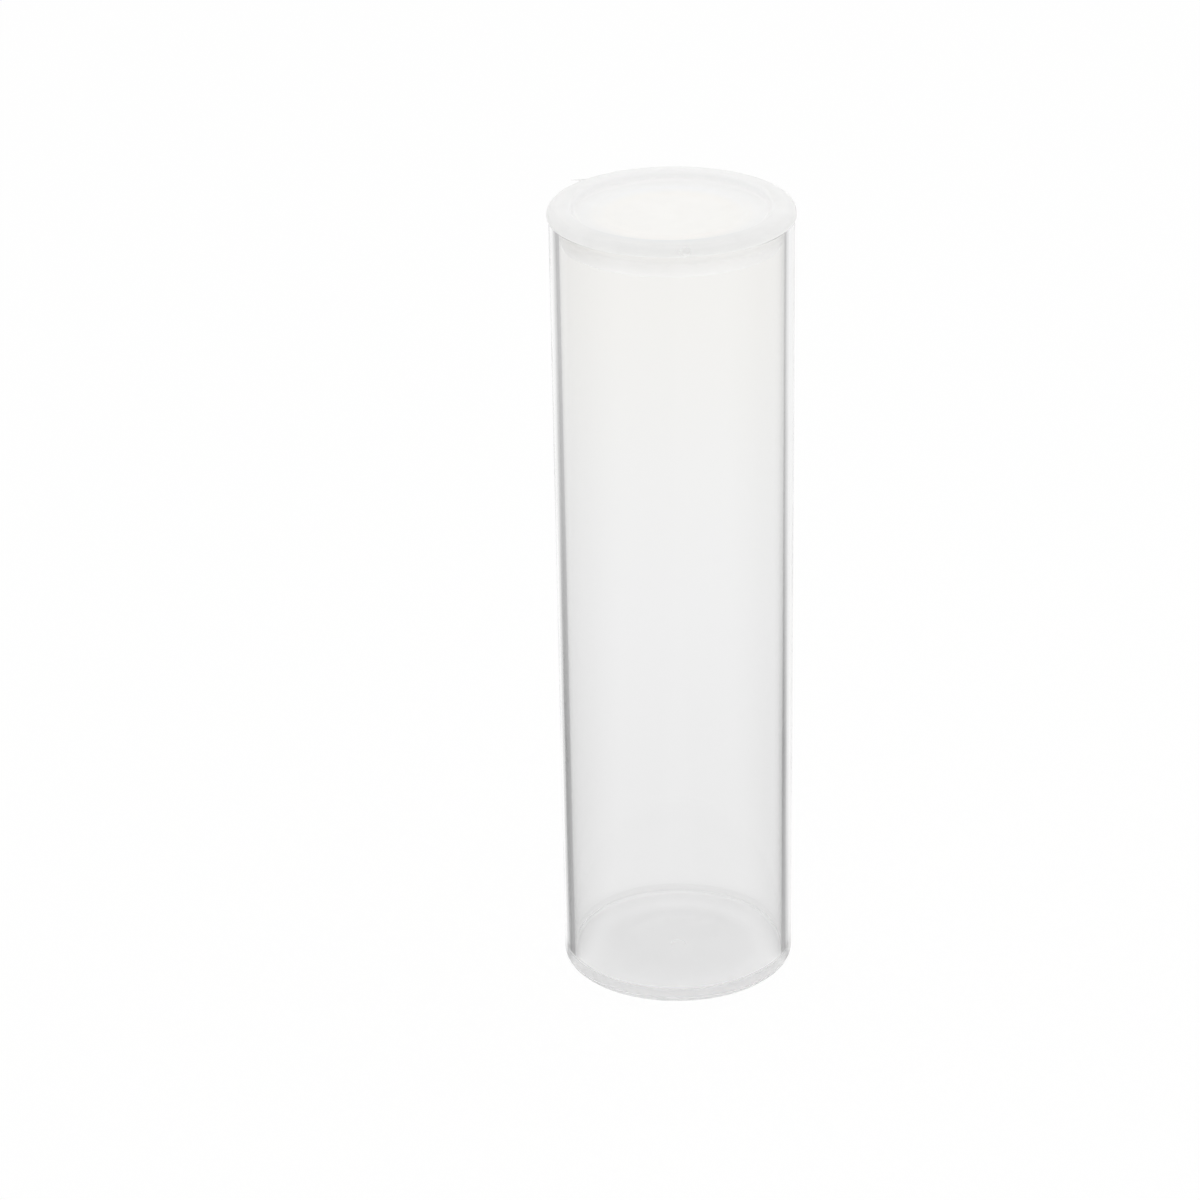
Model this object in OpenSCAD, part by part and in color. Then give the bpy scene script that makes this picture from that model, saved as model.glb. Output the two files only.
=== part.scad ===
// Round coin tube: a clear injection-moulded tube and the milky push-in lid that closes it.
// Both pieces are turned shapes about Z. The tube stands on Z = 0 with its mouth up.

/* [Whole tube] */
// Height from the table to the top of the closed lid
overall_h = 87; // [60:1:120]
// Outside diameter at the foot, before the wall starts to widen
foot_d = 25; // [22:0.5:40]
// Draft of the tube's wall in degrees, which makes the mouth wider than the foot
draft = 0.15; // [0.05:0.05:0.4]

/* [Tube] */
// Thickness of the tube's wall
wall = 1.05; // [0.8:0.05:1.5]
// Height of the inside floor above the table
floor_t = 1.3; // [1.1:0.1:2]
// Radius of the rounded edge under the wall
foot_round = 0.85; // [0.4:0.05:1]
// Radius of the inside corner between the floor and the wall
floor_round = 0.45; // [0.2:0.05:0.8]
// Width of the ring that the tube stands on, measured in from the outside of the wall
foot_ring_w = 4.1; // [2.5:0.1:6]
// Depth of the shallow hollow under the floor
hollow_depth = 0.15; // [0.15:0.05:0.6]
// Width of the slope round that hollow
hollow_slope_w = 0.8; // [0.1:0.05:1.5]
// Diameter of the gate stub in the middle of the hollow
stub_d = 1.6; // [1:0.1:3]
// Height of the gate stub, which stays inside the hollow
stub_h = 0.1; // [0.05:0.05:0.1]
// Chamfer inside the mouth, which leads the plug in
mouth_lead = 0.3; // [0.1:0.05:0.4]
// Radius that breaks the outer edge of the mouth
mouth_round = 0.15; // [0.05:0.05:0.2]

/* [Lid flange and panel] */
// Thickness of the flange that lies on the rim of the tube
flange_t = 1.1; // [1:0.05:1.6]
// How far the flange stands out past the mouth of the tube, each side
flange_overhang = 0.18; // [0.05:0.01:0.5]
// Radius of the flange's top edge
flange_round = 0.85; // [0.3:0.05:0.85]
// Radius that breaks the flange's lower edge
flange_break = 0.12; // [0.05:0.01:0.14]
// Width of the raised rim round the sunk panel, measured in from the flange's edge
rim_w = 2.45; // [1.6:0.05:4]
// Radius of the rim's inner edge
rim_round = 0.25; // [0.1:0.05:0.3]
// Depth of the sunk panel below the rim
panel_depth = 0.55; // [0.3:0.05:0.8]
// Width of the slope between the rim and the panel
panel_slope_w = 0.3; // [0.1:0.05:0.6]
// Thickness of the panel
panel_t = 0.9; // [0.7:0.05:1.2]
// Diameter of the round core mark in the middle of the panel
core_mark_d = 16; // [8:0.5:16.5]
// Depth of the core mark
core_mark_depth = 0.06; // [0.05:0.01:0.2]

/* [Lid plug] */
// Depth that the plug reaches into the tube, below the rim
plug_depth = 2.6; // [2.3:0.1:6]
// Thickness of the plug's skirt
plug_wall = 0.95; // [0.9:0.05:1.4]
// Gap each side between the skirt and the bore
plug_gap = 0.14; // [0.1:0.01:0.3]
// Gap each side between the sealing bead and the bore
bead_gap = 0.03; // [0.02:0.01:0.08]
// Radius of the sealing bead's section
bead_r = 0.4; // [0.32:0.02:0.42]
// Depth of the bead's middle below the rim of the tube
bead_drop = 1.1; // [0.9:0.05:1.4]
// How far the skirt's end draws in, so that it finds the mouth
plug_lead = 0.35; // [0.1:0.05:0.45]
// Height of that tapered end
plug_lead_h = 0.8; // [0.4:0.05:1]
// Draft of the skirt's inside in degrees
skirt_draft = 2; // [0.5:0.5:4]
// Radius of the inside corner between the skirt and the panel
skirt_round = 0.4; // [0.2:0.05:0.6]

/* [Lid gate] */
// Diameter of the gate stub on the flange's edge
gate_d = 0.45; // [0.3:0.05:0.5]
// Diameter of the flared recess round the stub
gate_recess_d = 1.1; // [0.9:0.05:1.2]
// Depth of that recess, which keeps the stub inside the flange's edge
gate_recess_depth = 0.3; // [0.1:0.01:0.3]
// Height of the gate above the rim of the tube, as a share of the flange's thickness
gate_rise = 0.62; // [0.5:0.01:0.7]
// Direction of the gate round the lid in degrees, where -90 is the front
gate_angle = -84; // [-180:1:180]

/* [Hidden] */
// Faces on the turned shapes and on the small circles of their sections
turn_faces = 160;
arc_faces = 32;
// Overrun that carries a cut past the face that it opens
cut_over = 0.5;
down = -90;
level = 0;
up = 90;

// Heights above the table
rim_z = overall_h - flange_t;
panel_z = overall_h - panel_depth;
panel_under_z = panel_z - panel_t;
plug_end_z = rim_z - plug_depth;
bead_z = rim_z - bead_drop;
hollow_top_z = hollow_depth;
gate_z = rim_z + gate_rise * flange_t;

// Radii of the tube's two faces at a height
foot_r = foot_d / 2;
function outside_r(z) = foot_r + z * tan(draft);
function bore_r(z) = outside_r(z) - wall;
hollow_r = foot_r - foot_ring_w;
stub_r = stub_d / 2;

// Radii of the lid, which follow the mouth that it closes
flange_r = outside_r(rim_z) + flange_overhang;
panel_r = flange_r - rim_w;
core_mark_r = core_mark_d / 2;
skirt_r = bore_r(plug_end_z) - plug_gap;
skirt_end_in_r = skirt_r - plug_wall;
function skirt_in_r(z) = skirt_end_in_r - (z - plug_end_z) * tan(skirt_draft);
bead_centre_r = bore_r(bead_z) - bead_gap - bead_r;

// The slope round the panel, and the direction square to it
panel_slope_l = norm([panel_slope_w, panel_depth]);
panel_slope_dir = atan2(panel_slope_w, -panel_depth);

// A point at a distance from the origin in a direction
function along(distance, angle) = distance * [cos(angle), sin(angle)];

// Cutter that rounds a corner: what lies outside the circle, between two directions from its centre
module round_cut(centre, r, from, to) {
    reach = r + cut_over;
    translate(centre)
        difference() {
            polygon([
                [0, 0],
                along(reach, from),
                along(reach / cos((to - from) / 2), (from + to) / 2),
                along(reach, to)
            ]);
            circle(r, $fn = arc_faces);
        }
}

// Half section of the clear tube: outside, less the bore and the hollow under the floor
module tube_section() {
    difference() {
        polygon([
            [0, 0],
            [outside_r(0), 0],
            [outside_r(rim_z), rim_z],
            [0, rim_z]
        ]);
        round_cut([outside_r(foot_round) - foot_round / cos(draft), foot_round], foot_round, down, -draft);
        round_cut(
            [outside_r(rim_z - mouth_round) - mouth_round / cos(draft), rim_z - mouth_round],
            mouth_round, -draft, up
        );
        bore_section();
        polygon([
            [0, -cut_over],
            [hollow_r, -cut_over],
            [hollow_r, 0],
            [hollow_r - hollow_slope_w, hollow_top_z],
            [0, hollow_top_z]
        ]);
    }
    // Gate stub
    translate([0, hollow_top_z - stub_h])
        square([stub_r, floor_t - hollow_top_z]);
}

// The space inside the tube, rounded at the floor and opened out at the mouth
module bore_section() {
    lead_z = rim_z - mouth_lead;
    difference() {
        polygon([
            [0, floor_t],
            [bore_r(floor_t), floor_t],
            [bore_r(lead_z), lead_z],
            [bore_r(lead_z) + mouth_lead, rim_z],
            [bore_r(lead_z) + mouth_lead, rim_z + cut_over],
            [0, rim_z + cut_over]
        ]);
        round_cut(
            [bore_r(floor_t + floor_round) - floor_round / cos(draft), floor_t + floor_round],
            floor_round, down, -draft
        );
    }
}

// Half section of the lid: flange and plug in one, less the sunk panel and the hollow plug
module lid_section() {
    rim_round_r = panel_r + rim_round * (panel_slope_l - panel_slope_w) / panel_depth;
    difference() {
        polygon([
            [0, plug_end_z],
            [skirt_r - plug_lead, plug_end_z],
            [skirt_r, plug_end_z + plug_lead_h],
            [skirt_r, rim_z],
            [flange_r, rim_z],
            [flange_r, overall_h],
            [0, overall_h]
        ]);
        round_cut([flange_r - flange_round, overall_h - flange_round], flange_round, level, up);
        round_cut([flange_r - flange_break, rim_z + flange_break], flange_break, down, level);
        panel_section();
        round_cut([rim_round_r, overall_h - rim_round], rim_round, up, panel_slope_dir);
        plug_hollow_section();
    }
    // Sealing bead
    translate([bead_centre_r, bead_z])
        circle(bead_r, $fn = arc_faces);
}

// The sunk panel with its shallow core mark
module panel_section() {
    polygon([
        [0, panel_z],
        [panel_r - panel_slope_w, panel_z],
        [panel_r, overall_h],
        [panel_r, overall_h + cut_over],
        [0, overall_h + cut_over]
    ]);
    translate([0, panel_z - core_mark_depth])
        square([core_mark_r, core_mark_depth + panel_depth]);
}

// The space inside the plug's skirt
module plug_hollow_section() {
    round_z = panel_under_z - skirt_round;
    difference() {
        polygon([
            [0, plug_end_z - cut_over],
            [skirt_end_in_r, plug_end_z - cut_over],
            [skirt_end_in_r, plug_end_z],
            [skirt_in_r(panel_under_z), panel_under_z],
            [0, panel_under_z]
        ]);
        round_cut(
            [skirt_in_r(round_z) - skirt_round / cos(skirt_draft), round_z],
            skirt_round, skirt_draft, up
        );
    }
}

module tube() {
    color([0.93, 0.95, 0.96, 0.4])
        rotate_extrude($fn = turn_faces)
            tube_section();
}

module lid() {
    color([0.96, 0.96, 0.95, 0.85]) {
        difference() {
            rotate_extrude($fn = turn_faces)
                lid_section();
            // Recess round the gate
            rotate([0, 0, gate_angle])
                translate([flange_r - gate_recess_depth, 0, gate_z])
                    rotate([0, up, 0])
                        cylinder(
                            h = gate_recess_depth + cut_over,
                            d1 = gate_recess_d - gate_recess_depth,
                            d2 = gate_recess_d + cut_over,
                            $fn = arc_faces
                        );
        }
        // Gate stub
        rotate([0, 0, gate_angle])
            translate([flange_r - gate_recess_depth - gate_d, 0, gate_z])
                rotate([0, up, 0])
                    cylinder(h = gate_recess_depth + gate_d, d = gate_d, $fn = arc_faces);
    }
}

tube();
lid();
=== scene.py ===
"""Looks of a slim coin tube: a clear moulded polystyrene tube and its milky polyethylene push-in lid.

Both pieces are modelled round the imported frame, in metres, and replace its two solids.
"""
import math

import bmesh
import bpy
from mathutils import Euler, Matrix, Vector


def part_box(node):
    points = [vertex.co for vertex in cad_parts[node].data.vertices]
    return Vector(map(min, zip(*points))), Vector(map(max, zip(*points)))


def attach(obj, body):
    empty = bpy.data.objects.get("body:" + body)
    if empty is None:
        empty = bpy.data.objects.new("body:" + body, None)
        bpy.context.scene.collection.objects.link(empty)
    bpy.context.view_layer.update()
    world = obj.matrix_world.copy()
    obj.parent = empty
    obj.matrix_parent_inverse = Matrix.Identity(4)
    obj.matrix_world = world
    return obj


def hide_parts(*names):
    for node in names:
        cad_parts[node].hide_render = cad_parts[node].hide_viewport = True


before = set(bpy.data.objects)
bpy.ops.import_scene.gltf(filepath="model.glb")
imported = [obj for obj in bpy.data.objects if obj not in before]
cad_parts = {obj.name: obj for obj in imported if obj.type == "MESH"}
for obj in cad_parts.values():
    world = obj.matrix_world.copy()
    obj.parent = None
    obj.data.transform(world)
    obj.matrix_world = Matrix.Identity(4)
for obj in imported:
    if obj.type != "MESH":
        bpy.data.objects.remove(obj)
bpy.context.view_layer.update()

MM = 0.001

# Heights and radii that the frame gives
RIM_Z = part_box("tube")[1].z
LID_LOW, LID_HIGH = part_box("lid")
OVERALL_H = LID_HIGH.z
PLUG_END_Z = LID_LOW.z
FLANGE_R = LID_HIGH.x

# Faces on the turned shapes, the size below which two places are the same, and how squarely an end faces
TURN_FACES = 256
SAME_PLACE = 0.002 * MM
SQUARE_ON = 0.99
SMOOTH_ANGLE = math.radians(40)

# The tube
FOOT_R = 12.5 * MM
DRAFT = math.radians(0.15)
WALL = 1.05 * MM
FLOOR_Z = 1.3 * MM
FOOT_ROUND = 0.85 * MM
FLOOR_ROUND = 0.45 * MM
FOOT_RING_W = 4.1 * MM
HOLLOW_DEPTH = 0.15 * MM
HOLLOW_SLOPE_W = 2.6 * MM
HOLLOW_ROUND = 0.8 * MM
STUB_R = 0.8 * MM
STUB_H = 0.1 * MM
STUB_ROUND = 0.05 * MM
MOUTH_LEAD = 0.3 * MM
MOUTH_ROUND = 0.15 * MM

# The lid
SEAT_PRESS = 0.01 * MM
FLANGE_ROUND = 0.85 * MM
FLANGE_BREAK = 0.12 * MM
PANEL_R = FLANGE_R - 2.45 * MM
RIM_ROUND = 0.25 * MM
PANEL_DEPTH = 0.55 * MM
PANEL_SLOPE_W = 0.3 * MM
PANEL_T = 0.9 * MM
CORE_MARK_R = 8 * MM
CORE_MARK_DEPTH = 0.06 * MM
CORE_MARK_SLOPE_W = 0.35 * MM
CORE_MARK_ROUND = 0.15 * MM
PLUG_WALL = 0.95 * MM
PLUG_GAP = 0.14 * MM
PLUG_LEAD = 0.35 * MM
PLUG_LEAD_H = 0.8 * MM
PLUG_END_ROUND = 0.12 * MM
BEAD_R = 0.4 * MM
BEAD_GAP = 0.03 * MM
BEAD_DROP = 1.1 * MM
BEAD_STEPS = 10
SKIRT_DRAFT = math.radians(2)
SKIRT_ROUND = 0.4 * MM

# The gate stub on the flange's edge, its rise as a share of the flange's thickness, and its flared recess
GATE_ANGLE = math.radians(-84)
GATE_RISE = 0.7
GATE_R = 0.225 * MM
GATE_SHORT = 0.18 * MM
GATE_BREAK = 0.08 * MM
GATE_FACES = 32
RECESS_R = 0.68 * MM
RECESS_DEPTH = 0.3 * MM
RECESS_FACES = 48
GATE_TOOL_L = 1 * MM

# The thin flash at the back left: where it leaves the edge, which way it points, its size and its narrow tip
FLASH_ANGLE = math.radians(135)
FLASH_ROOT_IN = 0.4 * MM
FLASH_DROP = 0.3 * MM
FLASH_TURN = math.radians(176)
FLASH_L = 1.7 * MM
FLASH_W = 0.5 * MM
FLASH_T = 0.2 * MM
FLASH_TIP = (1, 0.15, 0.3)

# The clear skin: fine lines where the core is drawn out, and slow waves where the melt shrank
DRAW_LINE_W = 1.2 * MM
DRAW_LINE_L = 60 * MM
DRAW_LINE_DEPTH = 0.0006 * MM
WAVE_L = 9 * MM
WAVE_DEPTH = 0.008 * MM
# Roughness under the foot and on the inside floor, and the least and most on the polished wall
SCUFFED = 0.42
FLOOR_SATIN = 0.18
HAZE = (0.012, 0.035)
# Heights between which scuffed turns to satin, satin to polished, and even to uneven
SCUFFED_END = (0.45 * MM, 0.9 * MM)
SATIN_END = (1.5 * MM, 2.0 * MM)
EVEN_END = (2 * MM, 6 * MM)

# The milky plastic: cloudy flow in the melt, the steel's fine satin, soft sinks, and how far light spreads
CLOUD_W = 4 * MM
CLOUD_SHARES = (0.3, 0.7)
SATIN_GRAIN = 0.25 * MM
SATIN_DEPTH = 0.003 * MM
SATIN_GLOSS = (0.36, 0.48)
SINK_W = 5 * MM
SINK_DEPTH = 0.05 * MM
LIGHT_SPREAD = 5 * MM
# Its tones, two close ones for each place, which the flow mixes. Some hold painted light and shade: the panel
# and the plug are painted brighter, the front, the edge and the left of the plug darker
LID_TONES = {
    # Painted light: the thin panel is painted bright where light comes through it
    "panel": ("#F2EDE5", "#F5F0E8"),
    "rim": ("#EDEDEC", "#F1F1F0"),
    # Painted shade: the front of the rim is painted darker
    "shaded front": ("#DFDFDE", "#E3E3E2"),
    # Painted shade: the flange's edge is painted darker
    "edge": ("#E1E1E0", "#E5E5E4"),
    # Painted light: the plug is painted bright against the flange's shadow
    "plug": ("#F5F3F0", "#F8F6F3"),
    # Painted shade: the left of the plug is painted darker
    "shaded left plug": ("#E8E6E3", "#ECEAE7"),
}
# Where they change: out from the panel's painted bright middle, out to the edge's painted shade, back from
# the painted shade at the front, by the gate, in from the painted shade at the left of the plug, and upwards
# at the seat
BRIGHT_MIDDLE = (0, -1.5 * MM, 0)
PANEL_END = (6.4 * MM, 9.4 * MM)
RIM_END = (11.8 * MM, 12.6 * MM)
SHADED_FRONT_END = (-10 * MM, -1 * MM)
SHADED_LEFT_PLUG_END = (-10 * MM, -5 * MM)
PLUG_TOP = (RIM_Z - 0.2 * MM, RIM_Z + 0.2 * MM)
# The painted light on the step round the panel, painted white: its middle, half its width, and its soft
# reach, which grows towards the back
STEP_R = PANEL_R - 0.2 * MM
STEP_HALF_W = 0.1 * MM
STEP_REACH = (0.5 * MM, 1.8 * MM)
STEP_GROWS = (2 * MM, 9 * MM)

# A mix node that mixes colours, its sockets for them, and a soft start and end for a map range
COLOURS = {"data_type": "RGBA"}
MIX_A, MIX_B, MIX_RESULT = 6, 7, 2
SMOOTH = {"interpolation_type": "SMOOTHSTEP"}

# The camera, fitted to the photograph's outline in its frame of 1200 by 1200 pixels, with its sensor in
# millimetres
PHOTO_PX = 1200
SENSOR_W = 36
FOCAL_PX = 4510.5
AIM_PX = (675.04, 590.21)
CAMERA_DISTANCE = 482.06 * MM
CAMERA_ELEVATION = math.radians(24.25)
CAMERA_ROLL = math.radians(-0.517)
CLIP_START = 10 * MM
CLIP_END = 20


def outside_r(z):
    """Radius of the tube's outside at a height."""
    return FOOT_R + z * math.tan(DRAFT)


def bore_r(z):
    """Radius of the tube's bore at a height."""
    return outside_r(z) - WALL


# Modelling helpers

def turned_blank(name, radius, low_z, high_z):
    """Adds a closed cylinder where the piece stands, and opens it for editing."""
    bpy.ops.object.select_all(action="DESELECT")
    middle = (0, 0, (low_z + high_z) / 2)
    bpy.ops.mesh.primitive_cylinder_add(
        vertices=TURN_FACES, radius=radius, depth=high_z - low_z, location=middle
    )
    blank = bpy.context.object
    blank.name = blank.data.name = name
    bpy.ops.object.transform_apply(location=True, rotation=True, scale=True)
    bpy.ops.object.mode_set(mode="EDIT")
    return blank


def pick(piece, kind, is_wanted):
    """Selects the faces or the edges that pass a test."""
    bpy.ops.mesh.select_mode(type=kind)
    bpy.ops.mesh.select_all(action="DESELECT")
    shape = bmesh.from_edit_mesh(piece.data)
    for item in shape.faces if kind == "FACE" else shape.edges:
        item.select_set(is_wanted(item))
    bmesh.update_edit_mesh(piece.data)


def pick_end(piece, normal_z, z):
    """Selects the flat end that faces up (1) or down (-1) at a height."""
    pick(piece, "FACE", lambda face: (
        abs(face.calc_center_median().z - z) < SAME_PLACE and face.normal.z * normal_z > SQUARE_ON
    ))


def draw_along(piece, places):
    """Extrudes the selected flat end from one radius and height to the next."""
    for radius, z in places:
        shape = bmesh.from_edit_mesh(piece.data)
        chosen = [v.co for v in shape.verts if v.select]
        now_r = max(co.xy.length for co in chosen)
        now_z = sum(co.z for co in chosen) / len(chosen)
        bpy.ops.mesh.extrude_region_move(TRANSFORM_OT_translate={"value": (0, 0, z - now_z)})
        size = radius / now_r
        bpy.ops.transform.resize(value=(size, size, 1), center_override=(0, 0, z))


def round_rings(piece, rings):
    """Bevels rings of edges, each given by its radius, height, width of the round and number of steps."""
    for radius, z, width, steps in rings:
        pick(piece, "EDGE", lambda edge: all(
            abs(v.co.xy.length - radius) < SAME_PLACE and abs(v.co.z - z) < SAME_PLACE
            for v in edge.verts
        ))
        bpy.ops.mesh.bevel(
            offset=width, offset_type="OFFSET", segments=steps, affect="EDGES", clamp_overlap=False
        )


def combine(piece, tool, operation):
    """Cuts a tool out of a piece or joins it on, and removes the tool."""
    bpy.ops.object.select_all(action="DESELECT")
    piece.select_set(True)
    bpy.context.view_layer.objects.active = piece
    change = piece.modifiers.new(operation.lower(), "BOOLEAN")
    change.operation = operation
    change.object = tool
    change.solver = "EXACT"
    bpy.ops.object.modifier_apply(modifier=change.name)
    bpy.data.objects.remove(tool, do_unlink=True)


def finish_piece(piece, material):
    """Closes the edit, turns the faces outwards, smooths them and gives the material."""
    bpy.ops.mesh.select_all(action="SELECT")
    bpy.ops.mesh.normals_make_consistent(inside=False)
    bpy.ops.object.mode_set(mode="OBJECT")
    bpy.ops.object.shade_smooth_by_angle(angle=SMOOTH_ANGLE)
    weighted = piece.modifiers.new("weighted_normals", "WEIGHTED_NORMAL")
    weighted.keep_sharp = True
    bpy.ops.object.modifier_apply(modifier=weighted.name)
    piece.data.materials.clear()
    piece.data.materials.append(material)


# Material helpers

def linear(hex_colour):
    """The linear RGBA of an sRGB hex colour."""
    shares = [int(hex_colour[i:i + 2], 16) / 255 for i in (1, 3, 5)]
    return tuple(
        s / 12.92 if s <= 0.04045 else ((s + 0.055) / 1.055) ** 2.4 for s in shares
    ) + (1.0,)


def grey(level):
    """A grey of a linear level."""
    return (level, level, level, 1.0)


def add_node(tree, kind, settings=None, inputs=None, stops=()):
    """Adds a node with its settings and links.

    An input takes a value, or a socket that it is linked to. A ramp's stops are pairs of a place from 0 to 1
    and a colour.
    """
    node = tree.nodes.new(kind)
    for name, value in (settings or {}).items():
        setattr(node, name, value)
    for name, value in (inputs or {}).items():
        if isinstance(value, bpy.types.NodeSocket):
            tree.links.new(value, node.inputs[name])
        else:
            node.inputs[name].default_value = value
    if stops:
        ramp = node.color_ramp.elements
        ramp.remove(ramp[1])
        ramp[0].position, ramp[0].color = stops[0]
        for place, colour in stops[1:]:
            ramp.new(place).color = colour
    return node


def new_material(name):
    """An empty node material with its output."""
    material = bpy.data.materials.new(name)
    material.use_nodes = True
    material.node_tree.nodes.clear()
    output = add_node(material.node_tree, "ShaderNodeOutputMaterial")
    return material, material.node_tree, output


def clear_polystyrene():
    """Clear polystyrene, injection-moulded against polished steel.

    It is colourless and glassy, with a high index that makes hard dark edge lines.
    The core that is drawn out of the bore leaves faint upright draw lines, and the skin has a trace of haze.
    """
    material, tree, output = new_material("clear_polystyrene_moulded")
    place = add_node(tree, "ShaderNodeTexCoord").outputs["Object"]
    height = add_node(tree, "ShaderNodeSeparateXYZ", inputs={0: place}).outputs[2]
    # The steel is flatter and cooler at the foot, which has neither the lines nor the waves
    uneven = add_node(tree, "ShaderNodeMapRange", SMOOTH, {
        "Value": height, "From Min": EVEN_END[0], "From Max": EVEN_END[1],
    })
    lines_at = add_node(tree, "ShaderNodeMapping", inputs={
        "Vector": place, "Scale": (1 / DRAW_LINE_W, 1 / DRAW_LINE_W, 1 / DRAW_LINE_L),
    })
    lines = add_node(tree, "ShaderNodeTexNoise", inputs={
        "Vector": lines_at.outputs[0], "Scale": 1.0, "Detail": 2.0,
    })
    line_bump = add_node(tree, "ShaderNodeBump", inputs={
        "Height": lines.outputs[0], "Strength": uneven.outputs[0], "Distance": DRAW_LINE_DEPTH,
    })
    waves = add_node(tree, "ShaderNodeTexNoise", inputs={
        "Vector": place, "Scale": 1 / WAVE_L, "Detail": 1.0,
    })
    wave_bump = add_node(tree, "ShaderNodeBump", inputs={
        "Height": waves.outputs[0], "Normal": line_bump.outputs[0],
        "Strength": uneven.outputs[0], "Distance": WAVE_DEPTH,
    })
    # Polished with a trace of haze, but satin at the inside floor and scuffed where it stands
    gloss = add_node(tree, "ShaderNodeMapRange", inputs={
        "Value": waves.outputs[0], "To Min": HAZE[0], "To Max": HAZE[1],
    }).outputs[0]
    for (start, end), below in ((SATIN_END, FLOOR_SATIN), (SCUFFED_END, SCUFFED)):
        above = add_node(tree, "ShaderNodeMapRange", SMOOTH, {
            "Value": height, "From Min": start, "From Max": end,
        })
        gloss = add_node(tree, "ShaderNodeMix", inputs={
            "Factor": above.outputs[0], "A": below, "B": gloss,
        }).outputs[0]
    plastic = add_node(tree, "ShaderNodeBsdfPrincipled", inputs={
        "Base Color": linear("#FEFEFE"), "IOR": 1.59, "Transmission Weight": 1.0,
        "Roughness": gloss, "Normal": wave_bump.outputs[0],
    })
    # Lamps shine through the wall on the lid and the table
    path = add_node(tree, "ShaderNodeLightPath")
    lamp_light = add_node(tree, "ShaderNodeMath", {"operation": "MAXIMUM"}, {
        0: path.outputs["Is Shadow Ray"], 1: path.outputs["Is Diffuse Ray"],
    })
    passing = add_node(tree, "ShaderNodeBsdfTransparent", inputs={"Color": linear("#FEFEFE")})
    both = add_node(tree, "ShaderNodeMixShader", inputs={
        0: lamp_light.outputs[0], 1: plastic.outputs[0], 2: passing.outputs[0],
    })
    tree.links.new(both.outputs[0], output.inputs["Surface"])
    return material


def lid_tint(tree, place):
    """The milky plastic's tint, with painted light and shade: the thin panel is painted bright and a little
    warm, the thick rim greyer, the plug bright, and the front, the edge and the left of the plug darker.
    """
    clouds = add_node(tree, "ShaderNodeTexNoise", inputs={
        "Vector": place, "Scale": 1 / CLOUD_W, "Detail": 3.0, "Roughness": 0.55,
    })
    flow = add_node(tree, "ShaderNodeMapRange", SMOOTH, {
        "Value": clouds.outputs[0], "From Min": CLOUD_SHARES[0], "From Max": CLOUD_SHARES[1],
    })
    tones = {
        name: add_node(tree, "ShaderNodeMix", COLOURS, {
            "Factor": flow.outputs[0], MIX_A: linear(first), MIX_B: linear(second),
        }).outputs[MIX_RESULT]
        for name, (first, second) in LID_TONES.items()
    }
    # Painted light: the thin step round the panel lets light through, and is painted white for it
    tones["step"] = linear("#FFFFFF")
    x, y, z = add_node(tree, "ShaderNodeSeparateXYZ", inputs={0: place}).outputs
    level_place = add_node(tree, "ShaderNodeCombineXYZ", inputs={0: x, 1: y}).outputs[0]
    radius = add_node(tree, "ShaderNodeVectorMath", {"operation": "LENGTH"}, {
        0: level_place,
    }).outputs["Value"]
    # The panel's painted bright middle lies a little towards the gate
    from_middle = add_node(tree, "ShaderNodeVectorMath", {"operation": "DISTANCE"}, {
        0: level_place, 1: BRIGHT_MIDDLE,
    }).outputs["Value"]
    past_step = add_node(tree, "ShaderNodeMath", {"operation": "SUBTRACT"}, {0: radius, 1: STEP_R})
    off_step = add_node(tree, "ShaderNodeMath", {"operation": "ABSOLUTE"}, {0: past_step.outputs[0]})
    step_reach = add_node(tree, "ShaderNodeMapRange", SMOOTH, {
        "Value": y, "From Min": STEP_GROWS[0], "From Max": STEP_GROWS[1],
        "To Min": STEP_REACH[0], "To Max": STEP_REACH[1],
    })
    # Each change: the tone it makes, what it follows, from where to where, and the tones before and after it
    for name, follows, (start, end), before, after in (
        ("plug", x, SHADED_LEFT_PLUG_END, "shaded left plug", "plug"),
        ("rim", y, SHADED_FRONT_END, "shaded front", "rim"),
        ("top", from_middle, PANEL_END, "panel", "rim"),
        ("top", radius, RIM_END, "top", "edge"),
        ("top", off_step.outputs[0], (STEP_HALF_W, step_reach.outputs[0]), "step", "top"),
        ("whole", z, PLUG_TOP, "plug", "top"),
    ):
        share = add_node(tree, "ShaderNodeMapRange", SMOOTH, {
            "Value": follows, "From Min": start, "From Max": end,
        })
        tones[name] = add_node(tree, "ShaderNodeMix", COLOURS, {
            "Factor": share.outputs[0], MIX_A: tones[before], MIX_B: tones[after],
        }).outputs[MIX_RESULT]
    return tones["whole"]


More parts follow.
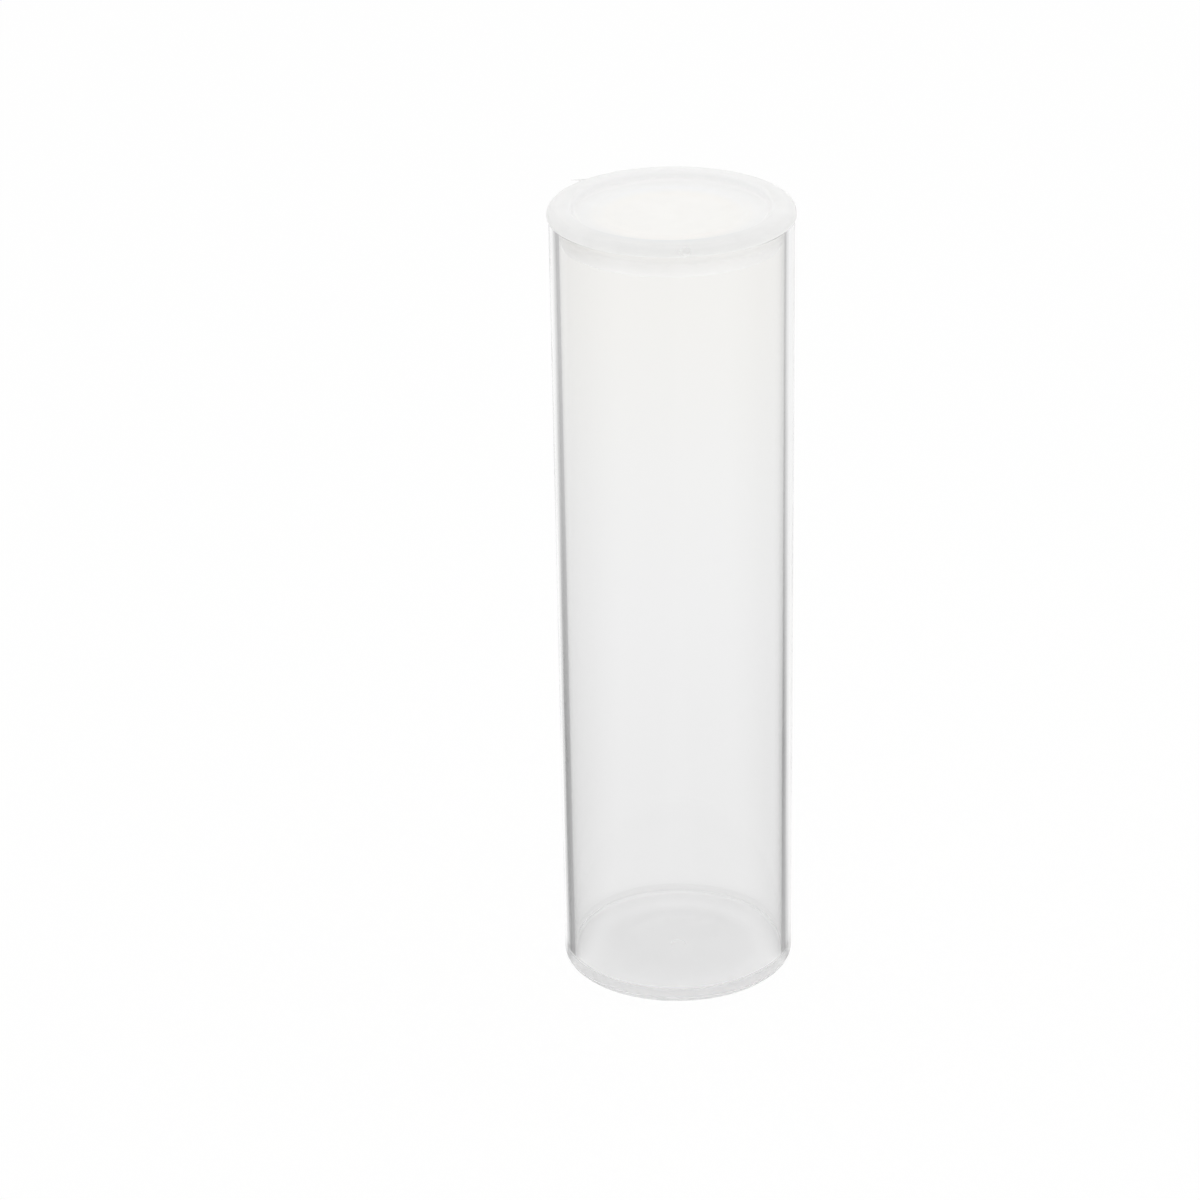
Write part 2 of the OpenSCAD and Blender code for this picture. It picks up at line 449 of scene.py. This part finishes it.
def milky_polyethylene():
    """Natural low-density polyethylene, injection-moulded, with a soft satin skin.

    Light sinks in and comes out again a few millimetres away, so edges glow and the panel looks milky.
    """
    material, tree, output = new_material("milky_polyethylene_moulded")
    place = add_node(tree, "ShaderNodeTexCoord").outputs["Object"]
    # The steel's satin is finer than this, and is drawn as coarse as the render can show
    satin = add_node(tree, "ShaderNodeTexNoise", inputs={
        "Vector": place, "Scale": 1 / SATIN_GRAIN, "Detail": 2.0,
    })
    satin_bump = add_node(tree, "ShaderNodeBump", inputs={
        "Height": satin.outputs[0], "Strength": 1.0, "Distance": SATIN_DEPTH,
    })
    # Soft sinks where the skin cooled unevenly
    sinks = add_node(tree, "ShaderNodeTexNoise", inputs={
        "Vector": place, "Scale": 1 / SINK_W, "Detail": 1.0,
    })
    sink_bump = add_node(tree, "ShaderNodeBump", inputs={
        "Height": sinks.outputs[0], "Normal": satin_bump.outputs[0], "Strength": 1.0, "Distance": SINK_DEPTH,
    })
    gloss = add_node(tree, "ShaderNodeMapRange", inputs={
        "Value": satin.outputs[0], "To Min": SATIN_GLOSS[0], "To Max": SATIN_GLOSS[1],
    })
    plastic = add_node(tree, "ShaderNodeBsdfPrincipled", inputs={
        "Base Color": lid_tint(tree, place), "IOR": 1.51, "Roughness": gloss.outputs[0],
        "Subsurface Weight": 1.0, "Subsurface Radius": (1.0, 1.0, 1.0), "Subsurface Scale": LIGHT_SPREAD,
        "Normal": sink_bump.outputs[0],
    })
    tree.links.new(plastic.outputs[0], output.inputs["Surface"])
    return material


# The tube

def model_tube(material):
    """The clear tube: one closed wall, drawn from a blank down the bore and up into the foot."""
    tube = turned_blank("clear_tube", outside_r(0), 0, RIM_Z)
    hollow_r = outside_r(0) - FOOT_RING_W
    inner_r = hollow_r - HOLLOW_SLOPE_W
    # The mouth is wider than the foot by the draft
    pick_end(tube, 1, RIM_Z)
    mouth = outside_r(RIM_Z) / outside_r(0)
    bpy.ops.transform.resize(value=(mouth, mouth, 1), center_override=(0, 0, RIM_Z))
    # Down the bore to the inside floor
    draw_along(tube, ((bore_r(RIM_Z), RIM_Z), (bore_r(FLOOR_Z), FLOOR_Z)))
    # Up from the foot into the shallow hollow, then out again as the gate stub
    pick_end(tube, -1, 0)
    draw_along(tube, (
        (hollow_r, 0),
        (inner_r, HOLLOW_DEPTH),
        (STUB_R, HOLLOW_DEPTH),
        (STUB_R, HOLLOW_DEPTH - STUB_H),
    ))
    round_rings(tube, (
        (outside_r(0), 0, FOOT_ROUND, 10),
        (bore_r(FLOOR_Z), FLOOR_Z, FLOOR_ROUND, 8),
        (bore_r(RIM_Z), RIM_Z, MOUTH_LEAD, 2),
        (outside_r(RIM_Z), RIM_Z, MOUTH_ROUND, 4),
        (hollow_r, 0, HOLLOW_ROUND, 5),
        (inner_r, HOLLOW_DEPTH, HOLLOW_ROUND, 5),
        (STUB_R, HOLLOW_DEPTH - STUB_H, STUB_ROUND, 3),
    ))
    finish_piece(tube, material)
    return tube


# The lid

def bead_outline(skirt_r):
    """Radii and heights down the sealing bead, whose section is part of a circle."""
    bead_z = RIM_Z - BEAD_DROP
    centre_r = bore_r(bead_z) - BEAD_GAP - BEAD_R
    half = math.acos((skirt_r - centre_r) / BEAD_R)
    angles = [half * (1 - 2 * step / BEAD_STEPS) for step in range(BEAD_STEPS + 1)]
    return [(centre_r + BEAD_R * math.cos(a), bead_z + BEAD_R * math.sin(a)) for a in angles]


def model_lid(material):
    """The milky lid: flange and sunk panel above, hollow plug with its sealing bead below."""
    # The soft flange presses on the rim, so no air shows between them
    low_z = RIM_Z - SEAT_PRESS
    skirt_r = bore_r(PLUG_END_Z) - PLUG_GAP
    end_r = skirt_r - PLUG_LEAD
    end_in_r = skirt_r - PLUG_WALL
    panel_z = OVERALL_H - PANEL_DEPTH
    under_z = panel_z - PANEL_T
    under_r = end_in_r - (under_z - PLUG_END_Z) * math.tan(SKIRT_DRAFT)
    floor_r = PANEL_R - PANEL_SLOPE_W
    mark_r = CORE_MARK_R - CORE_MARK_SLOPE_W
    mark_z = panel_z - CORE_MARK_DEPTH
    lid = turned_blank("milky_lid", FLANGE_R, low_z, OVERALL_H)
    # The sunk panel and its round core mark
    pick_end(lid, 1, OVERALL_H)
    draw_along(lid, ((PANEL_R, OVERALL_H), (floor_r, panel_z), (CORE_MARK_R, panel_z), (mark_r, mark_z)))
    # The plug: down past the bead, in at the tapered end, and up inside the skirt
    pick_end(lid, -1, low_z)
    draw_along(lid, (
        (skirt_r, low_z),
        *bead_outline(skirt_r),
        (skirt_r, PLUG_END_Z + PLUG_LEAD_H),
        (end_r, PLUG_END_Z),
        (end_in_r, PLUG_END_Z),
        (under_r, under_z),
    ))
    round_rings(lid, (
        (FLANGE_R, OVERALL_H, FLANGE_ROUND, 12),
        (FLANGE_R, low_z, FLANGE_BREAK, 4),
        (PANEL_R, OVERALL_H, RIM_ROUND, 6),
        (floor_r, panel_z, RIM_ROUND, 6),
        (CORE_MARK_R, panel_z, CORE_MARK_ROUND, 3),
        (mark_r, mark_z, CORE_MARK_ROUND, 3),
        (end_r, PLUG_END_Z, PLUG_END_ROUND, 3),
        (end_in_r, PLUG_END_Z, PLUG_END_ROUND, 3),
        (under_r, under_z, SKIRT_ROUND, 6),
    ))
    bpy.ops.object.mode_set(mode="OBJECT")
    cut_gate(lid)
    add_flash(lid)
    bpy.ops.object.mode_set(mode="EDIT")
    finish_piece(lid, material)
    return lid


def lay_at_gate(tool, radius):
    """Lays an upright tool on its side and moves its middle to a radius, in the gate's direction."""
    gate_z = RIM_Z + GATE_RISE * (OVERALL_H - RIM_Z)
    tool.data.transform(Matrix.Rotation(math.pi / 2, 4, "Y"))
    tool.data.transform(Matrix.Translation((radius, 0, gate_z)))
    tool.data.transform(Matrix.Rotation(GATE_ANGLE, 4, "Z"))


def cut_gate(lid):
    """The flared recess in the flange's edge and the broken-off gate stub that stands in it."""
    bpy.ops.object.select_all(action="DESELECT")
    bpy.ops.mesh.primitive_cone_add(
        vertices=RECESS_FACES, radius1=RECESS_R - RECESS_DEPTH / 2,
        radius2=RECESS_R + (GATE_TOOL_L - RECESS_DEPTH) / 2, depth=GATE_TOOL_L
    )
    recess = bpy.context.object
    lay_at_gate(recess, FLANGE_R - RECESS_DEPTH + GATE_TOOL_L / 2)
    combine(lid, recess, "DIFFERENCE")
    bpy.ops.mesh.primitive_cylinder_add(vertices=GATE_FACES, radius=GATE_R, depth=GATE_TOOL_L)
    stub = bpy.context.object
    bpy.ops.object.mode_set(mode="EDIT")
    pick(stub, "EDGE", lambda edge: all(v.co.z > GATE_TOOL_L / 2 - SAME_PLACE for v in edge.verts))
    bpy.ops.mesh.bevel(offset=GATE_BREAK, segments=3, affect="EDGES")
    bpy.ops.object.mode_set(mode="OBJECT")
    lay_at_gate(stub, FLANGE_R - GATE_SHORT - GATE_TOOL_L / 2)
    combine(lid, stub, "UNION")


def add_flash(lid):
    """The thin sliver of flash that stands out from the flange's edge at the back left, nearly along it."""
    bpy.ops.object.select_all(action="DESELECT")
    bpy.ops.mesh.primitive_cube_add(size=1, location=(0, 0, 0))
    flash = bpy.context.object
    bpy.ops.object.mode_set(mode="EDIT")
    pick(flash, "FACE", lambda face: face.normal.x > SQUARE_ON)
    bpy.ops.transform.resize(value=FLASH_TIP, center_override=(0.5, 0, 0))
    bpy.ops.object.mode_set(mode="OBJECT")
    root_r = FLANGE_R - FLASH_ROOT_IN
    root = (root_r * math.cos(FLASH_ANGLE), root_r * math.sin(FLASH_ANGLE), OVERALL_H - FLASH_DROP)
    flash.data.transform(Matrix.Diagonal((FLASH_L, FLASH_W, FLASH_T, 1)))
    flash.data.transform(Matrix.Translation((FLASH_L / 2, 0, 0)))
    flash.data.transform(Matrix.Rotation(FLASH_TURN, 4, "Z"))
    flash.data.transform(Matrix.Translation(root))
    combine(lid, flash, "UNION")


tube = model_tube(clear_polystyrene())
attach(tube, "tube_body")
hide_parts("tube")

lid = model_lid(milky_polyethylene())
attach(lid, "lid_body")
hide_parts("lid")


# The stage

# The table, and how much of its own paint and of its even light the camera sees
TABLE_W = 8
TABLE_GAP = 0.03 * MM
CAMERA_SEES_PAINT = 0.12
CAMERA_SEES_GLOW = 1.02
# The table as it shows straight through the plastic, by distance from the axis: shaded under the foot and
# close behind it, brighter and a little warmer towards the back
TABLE_FAR = 200 * MM
STRAIGHT_TABLE = (
    (7.6 * MM, "#DCDCDC"),
    (9 * MM, "#E6E6E6"),
    (11.4 * MM, "#E4E4E4"),
    (12.8 * MM, "#DBDBDB"),
    (15.6 * MM, "#E0E0E0"),
    (16.8 * MM, "#E8E8E8"),
    (20 * MM, "#E9E9E9"),
    (54 * MM, "#ECECEC"),
    (90 * MM, "#EFEFEF"),
    (134 * MM, "#F1F1F0"),
    (TABLE_FAR, "#F3F2EF"),
)
# The table as turned light sees it: shaded under the foot, and painted dark at its sides, a painted stand-in
# for the dark sides of the studio that the walls show as dark lines. Their angles go out from straight
# behind, round a point at each side of the tube, and each row of levels is for one distance
UNDER_FOOT = 0.70
FOOT_END = (12.6 * MM, 12.9 * MM)
PAINTED_DARK_OUT = 12 * MM
PAINTED_DARK_FORWARD = 3 * MM
PAINTED_DARK_ANGLES = (0, 22, 28, 34, 40, 50, 62, 90, 130)
PAINTED_DARK_DISTANCES = (15 * MM, 60 * MM, 200 * MM)
LEFT_PAINTED_DARK = (
    (1.0, 1.0, 0.35, 0.20, 0.35, 0.25, 0.45, 0.65, 1.0),
    (1.0, 1.0, 0.15, 0.20, 0.30, 0.50, 0.45, 0.55, 0.95),
    (0.95, 1.0, 0.75, 0.40, 0.45, 0.75, 0.60, 0.65, 0.95),
)
RIGHT_PAINTED_DARK = (
    (1.0, 0.85, 0.70, 0.30, 0.40, 0.30, 0.50, 0.70, 1.0),
    (1.0, 0.90, 1.0, 0.45, 0.25, 0.20, 0.60, 0.60, 0.95),
    (1.0, 0.85, 0.95, 0.90, 0.45, 0.50, 0.75, 0.75, 1.0),
)
# How strongly the room lights the object from the camera's side and from behind, the directions between which
# that changes, and how bright it shows straight through both walls and turned aside in one
ROOM_LIGHTS = (0.66, 0.93)
ROOM_SWEEP = (-0.8, 0.8)
ROOM_STRAIGHT = 0.89
ROOM_TURNED = 0.3
# The ray depth on the table behind one wall and behind both: a wall has two faces. In the room it is one more
ONE_WALL = 2
BOTH_WALLS = 4
# Light runs a long way inside the foot before it comes out
LIGHT_BOUNCES = 24
# The softbox, in metres and watts
SOFTBOX_PLACE = (0.10, 0.0, 0.78)
SOFTBOX_W = 0.5
SOFTBOX_POWER = 0.6


def side_level(tree, angle, steps, painted_dark_rows):
    """The level of one side of the table at an angle, from the near row of painted dark levels to the far
    one.
    """
    rows = [
        add_node(tree, "ShaderNodeValToRGB", inputs={0: angle}, stops=[
            (degrees / 180, grey(level)) for degrees, level in zip(PAINTED_DARK_ANGLES, row)
        ]).outputs[0]
        for row in painted_dark_rows
    ]
    level = rows[0]
    for step, row in zip(steps, rows[1:]):
        level = add_node(tree, "ShaderNodeMix", COLOURS, {
            "Factor": step, MIX_A: level, MIX_B: row,
        }).outputs[MIX_RESULT]
    return level


def turned_level(tree, x, y, reach):
    """What light sees of the table once the plastic has turned it aside.

    Straight behind the tube and in front of it the table is bright, and its sides are painted dark.
    """
    aside = add_node(tree, "ShaderNodeMath", {"operation": "ABSOLUTE"}, {0: x})
    aside = add_node(tree, "ShaderNodeMath", {"operation": "SUBTRACT"}, {0: aside.outputs[0], 1: PAINTED_DARK_OUT})
    back = add_node(tree, "ShaderNodeMath", {"operation": "ADD"}, {0: y, 1: PAINTED_DARK_FORWARD})
    angle = add_node(tree, "ShaderNodeMath", {"operation": "ARCTAN2"}, {
        0: aside.outputs[0], 1: back.outputs[0],
    })
    half_turns = add_node(tree, "ShaderNodeMath", {"operation": "DIVIDE"}, {
        0: angle.outputs[0], 1: math.pi,
    })
    # From one row of painted dark levels to the next, in ratios of distance
    steps = []
    for start, end in zip(PAINTED_DARK_DISTANCES, PAINTED_DARK_DISTANCES[1:]):
        ratio = add_node(tree, "ShaderNodeMath", {"operation": "DIVIDE"}, {0: reach, 1: start})
        step = add_node(tree, "ShaderNodeMath", {"operation": "LOGARITHM", "use_clamp": True}, {
            0: ratio.outputs[0], 1: end / start,
        })
        steps.append(step.outputs[0])
    on_right = add_node(tree, "ShaderNodeMath", {"operation": "GREATER_THAN"}, {0: x, 1: 0.0})
    level = add_node(tree, "ShaderNodeMix", COLOURS, {
        "Factor": on_right.outputs[0],
        MIX_A: side_level(tree, half_turns.outputs[0], steps, LEFT_PAINTED_DARK),
        MIX_B: side_level(tree, half_turns.outputs[0], steps, RIGHT_PAINTED_DARK),
    })
    past_foot = add_node(tree, "ShaderNodeMapRange", SMOOTH, {
        "Value": reach, "From Min": FOOT_END[0], "From Max": FOOT_END[1],
    })
    level = add_node(tree, "ShaderNodeMix", COLOURS, {
        "Factor": past_foot.outputs[0], MIX_A: grey(UNDER_FOOT), MIX_B: level.outputs[MIX_RESULT],
    })
    # What has run round inside the wall comes from all sides
    depth = add_node(tree, "ShaderNodeLightPath").outputs["Ray Depth"]
    ran_round = add_node(tree, "ShaderNodeMath", {"operation": "GREATER_THAN"}, {
        0: depth, 1: BOTH_WALLS + 0.5,
    })
    return add_node(tree, "ShaderNodeMix", COLOURS, {
        "Factor": ran_round.outputs[0], MIX_A: level.outputs[MIX_RESULT], MIX_B: grey(1.0),
    }).outputs[MIX_RESULT]


def table_paint():
    """White table paint under an even light.

    The camera sees white with the tube's soft shadow. Light that has passed straight through the plastic
    sees the bright table behind it, and light that it has turned aside sees dark sides painted on the table.
    """
    material, tree, output = new_material("white_table_paint")
    place = add_node(tree, "ShaderNodeTexCoord").outputs["Object"]
    x, y, _ = add_node(tree, "ShaderNodeSeparateXYZ", inputs={0: place}).outputs
    reach = add_node(tree, "ShaderNodeVectorMath", {"operation": "LENGTH"}, {0: place}).outputs["Value"]
    share = add_node(tree, "ShaderNodeMath", {"operation": "DIVIDE"}, {0: reach, 1: TABLE_FAR})
    straight = add_node(tree, "ShaderNodeValToRGB", inputs={0: share.outputs[0]}, stops=[
        (distance / TABLE_FAR, linear(colour)) for distance, colour in STRAIGHT_TABLE
    ])
    # A wall that light goes straight through has two faces, so light of an odd ray depth was turned aside
    path = add_node(tree, "ShaderNodeLightPath")
    odd = add_node(tree, "ShaderNodeMath", {"operation": "MODULO"}, {0: path.outputs["Ray Depth"], 1: 2.0})
    seen = add_node(tree, "ShaderNodeMix", COLOURS, {
        "Factor": odd.outputs[0], MIX_A: straight.outputs[0], MIX_B: turned_level(tree, x, y, reach),
    })
    level = add_node(tree, "ShaderNodeMix", COLOURS, {
        "Factor": path.outputs["Is Camera Ray"], MIX_A: seen.outputs[MIX_RESULT], MIX_B: linear("#FFFFFF"),
    })
    strength = add_node(tree, "ShaderNodeMix", inputs={
        "Factor": path.outputs["Is Camera Ray"], "A": 1.0, "B": CAMERA_SEES_GLOW,
    })
    glow = add_node(tree, "ShaderNodeEmission", inputs={
        "Color": level.outputs[MIX_RESULT], "Strength": strength.outputs[0],
    })
    paint = add_node(tree, "ShaderNodeBsdfDiffuse", inputs={"Color": linear("#F7F7F6")})
    # Other surfaces are lit by the paint alone
    paint_share = add_node(tree, "ShaderNodeMath", {"operation": "MULTIPLY_ADD"}, {
        0: path.outputs["Is Camera Ray"], 1: CAMERA_SEES_PAINT, 2: path.outputs["Is Diffuse Ray"],
    })
    both = add_node(tree, "ShaderNodeMixShader", inputs={
        0: paint_share.outputs[0], 1: glow.outputs[0], 2: paint.outputs[0],
    })
    tree.links.new(both.outputs[0], output.inputs["Surface"])
    return material


def lay_table():
    """A wide level table just under the foot."""
    bpy.ops.object.select_all(action="DESELECT")
    bpy.ops.mesh.primitive_plane_add(size=TABLE_W, location=(0, 0, -TABLE_GAP))
    table = bpy.context.object
    table.name = table.data.name = "white_table"
    table.data.materials.append(table_paint())


def light_room():
    """A white room: white where the camera sees it, soft where it lights, and greyer through the plastic.

    Its light is strongest from the white sweep behind the object, and weakest from the camera's side.
    """
    world = bpy.data.worlds.new("white_room")
    world.use_nodes = True
    bpy.context.scene.world = world
    tree = world.node_tree
    tree.nodes.clear()
    path = add_node(tree, "ShaderNodeLightPath")
    depth = path.outputs["Ray Depth"]
    direction = add_node(tree, "ShaderNodeTexCoord").outputs["Generated"]
    towards_back = add_node(tree, "ShaderNodeSeparateXYZ", inputs={0: direction}).outputs[1]
    lighting = add_node(tree, "ShaderNodeMapRange", SMOOTH, {
        "Value": towards_back, "From Min": ROOM_SWEEP[0], "From Max": ROOM_SWEEP[1],
        "To Min": ROOM_LIGHTS[0], "To Max": ROOM_LIGHTS[1],
    })
    level = add_node(tree, "ShaderNodeMix", inputs={
        "Factor": path.outputs["Is Diffuse Ray"], "A": 1.0, "B": lighting.outputs[0],
    })
    # Through both walls it is as bright as the far table, and darker where one wall has turned light aside
    turned = add_node(tree, "ShaderNodeMath", {"operation": "COMPARE"}, {0: depth, 1: ONE_WALL + 1, 2: 0.5})
    seen = add_node(tree, "ShaderNodeMix", inputs={
        "Factor": turned.outputs[0], "A": ROOM_STRAIGHT, "B": ROOM_TURNED,
    })
    short = add_node(tree, "ShaderNodeMath", {"operation": "LESS_THAN"}, {0: depth, 1: BOTH_WALLS + 1.5})
    through = add_node(tree, "ShaderNodeMath", {"operation": "MULTIPLY"}, {
        0: short.outputs[0], 1: path.outputs["Is Transmission Ray"],
    })
    level = add_node(tree, "ShaderNodeMix", inputs={
        "Factor": through.outputs[0], "A": level.outputs[0], "B": seen.outputs[0],
    })
    room = add_node(tree, "ShaderNodeBackground", inputs={
        "Color": linear("#FFFFFF"), "Strength": level.outputs[0],
    })
    output = add_node(tree, "ShaderNodeOutputWorld")
    tree.links.new(room.outputs[0], output.inputs["Surface"])


def hang_softbox():
    """A square softbox high above, which points at the middle of the object."""
    lamp = bpy.data.lights.new("softbox_above", "AREA")
    lamp.shape = "SQUARE"
    lamp.size = SOFTBOX_W
    lamp.energy = SOFTBOX_POWER
    box = bpy.data.objects.new("softbox_above", lamp)
    bpy.context.scene.collection.objects.link(box)
    aim = Vector((0, 0, OVERALL_H / 2))
    box.location = SOFTBOX_PLACE
    box.rotation_euler = (aim - Vector(SOFTBOX_PLACE)).to_track_quat("-Z", "Y").to_euler()


def place_camera():
    """The photograph's viewpoint: the same outline, scale and slight roll."""
    camera = bpy.data.cameras.new("camera")
    camera.sensor_width = SENSOR_W
    camera.lens = FOCAL_PX / PHOTO_PX * SENSOR_W
    camera.shift_x = (PHOTO_PX / 2 - AIM_PX[0]) / PHOTO_PX
    camera.shift_y = (AIM_PX[1] - PHOTO_PX / 2) / PHOTO_PX
    camera.clip_start = CLIP_START
    camera.clip_end = CLIP_END
    holder = bpy.data.objects.new("camera", camera)
    bpy.context.scene.collection.objects.link(holder)
    back = Vector((0, -math.cos(CAMERA_ELEVATION), math.sin(CAMERA_ELEVATION)))
    middle = Vector((0, 0, OVERALL_H / 2))
    turn = Euler((math.pi / 2 - CAMERA_ELEVATION, 0, 0)).to_matrix() @ Matrix.Rotation(CAMERA_ROLL, 3, "Z")
    holder.location = middle + back * CAMERA_DISTANCE
    holder.rotation_euler = turn.to_euler()
    bpy.context.scene.camera = holder


lay_table()
light_room()
hang_softbox()
place_camera()
bpy.context.scene.cycles.max_bounces = LIGHT_BOUNCES
bpy.context.scene.cycles.glossy_bounces = LIGHT_BOUNCES
bpy.context.scene.cycles.transmission_bounces = LIGHT_BOUNCES
bpy.context.scene.view_settings.view_transform = "Standard"
